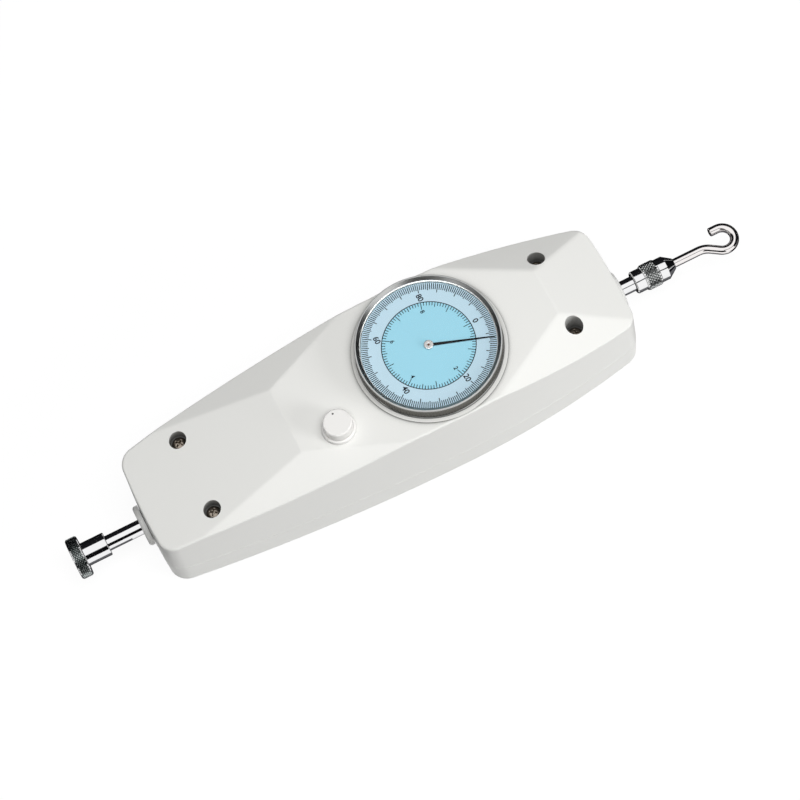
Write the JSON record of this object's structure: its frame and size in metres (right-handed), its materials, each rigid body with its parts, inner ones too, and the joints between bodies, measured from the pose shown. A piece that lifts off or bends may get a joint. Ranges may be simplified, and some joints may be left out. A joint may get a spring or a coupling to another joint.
{
  "type": "force gauge",
  "caption": "Analogue push-pull force gauge: faceted two-shell casing, round dial with turning bezel, through-rod with push disc and swivel hook, peak-release button.",
  "frame": {"origin": "centre of the flat back face, on the pointer's axis", "axes": "+X along the measuring rod towards the hook, +Z out of the dial"},
  "size_m": [0.2825, 0.062, 0.05],
  "materials": {
    "casing_plastic": "warm white moulded plastic, satin",
    "button_plastic": "white plastic, slight gloss",
    "screw_steel": "nickel-plated steel",
    "insert_brass": "turned brass",
    "chrome_steel": "polished chrome plate",
    "knurled_steel": "knurled nickel plate",
    "bezel_metal": "turned and plated bezel",
    "crystal_glass": "clear crystal",
    "dial_face": "printed pale blue dial",
    "pointer_black": "black lacquer",
    "frame_steel": "zinc-plated sheet",
    "frame_aluminium": "satin",
    "gear_brass": "cut brass",
    "spring_steel": "music wire",
    "arbor_steel": "ground steel"
  },
  "bodies": {
    "case": {"front_cover": "casing_plastic", "rear_cover": "casing_plastic", "cover_screws": "screw_steel", "mount_inserts": "insert_brass", "end_bush_left": "casing_plastic", "end_bush_right": "casing_plastic", "base_frame": "frame_steel", "frame_screws": "screw_steel", "frame_pillars": "frame_aluminium", "top_plate": "frame_steel", "plate_screws": "screw_steel", "pivot_bridge": "frame_aluminium", "stop_tube": "frame_aluminium", "main_spring": "spring_steel", "button_guide": "button_plastic", "button_spring": "spring_steel", "pawl_bracket": "frame_steel", "pawl_pin": "arbor_steel"},
    "bezel": {"bezel_ring": "bezel_metal", "crystal": "crystal_glass", "dial_plate": "dial_face", "dial_retainer": "frame_steel"},
    "indicator": {"pointer": "pointer_black", "pointer_hub": "chrome_steel", "pointer_arbor": "arbor_steel", "pointer_pinion": "gear_brass"},
    "gear": {"gear_arbor": "arbor_steel", "rack_pinion": "gear_brass", "drive_gear": "gear_brass"},
    "rod": {"push_rod": "chrome_steel", "push_head": "knurled_steel", "rack_bar": "arbor_steel", "pull_rod": "chrome_steel", "spring_collar": "frame_steel", "coupling_body": "chrome_steel", "knurled_ring": "knurled_steel", "coupling_nose": "chrome_steel"},
    "hook": {"pull_hook": "chrome_steel"},
    "button": {"button_cap": "button_plastic", "button_stem": "arbor_steel"},
    "pawl": {"peak_pawl": "frame_steel"}
  },
  "joints": [
    {"name": "rod_slide", "type": "slide", "parent": "case", "child": "rod", "axis": [1, 0, 0], "range_m": [0, 0.01], "stiffness_N_per_m": 10000, "deforming": ["main_spring"]},
    {"name": "gear_turn", "type": "hinge", "parent": "case", "child": "gear", "pos_m": [-0.01426, 0.0085, 0.032], "axis": [0, 0, 1], "range_deg": [-1, 116]},
    {"name": "pointer_turn", "type": "hinge", "parent": "case", "child": "indicator", "pos_m": [0, 0, 0.032], "axis": [0, 0, 1], "range_deg": [-363, 1]},
    {"name": "bezel_turn", "type": "hinge", "parent": "case", "child": "bezel", "pos_m": [0, 0, 0.0455], "axis": [0, 0, 1], "continuous": true},
    {"name": "hook_swivel", "type": "hinge", "parent": "rod", "child": "hook", "pos_m": [0.0935, 0, 0.013], "axis": [1, 0, 0], "continuous": true},
    {"name": "button_press", "type": "slide", "parent": "case", "child": "button", "axis": [0, 0, -1], "range_m": [0, 0.0025], "stiffness_N_per_m": 300, "deforming": ["button_spring"]},
    {"name": "pawl_turn", "type": "hinge", "parent": "case", "child": "pawl", "pos_m": [-0.0435, -0.007, 0.019], "axis": [1, 0, 0], "range_deg": [-1, 28]}
  ],
  "couplings": [
    {"joint": "gear_turn", "follows": "rod_slide", "rad_per_m": 200},
    {"joint": "pointer_turn", "follows": "rod_slide", "rad_per_m": -630},
    {"joint": "pawl_turn", "follows": "button_press", "rad_per_m": 188.68}
  ]
}
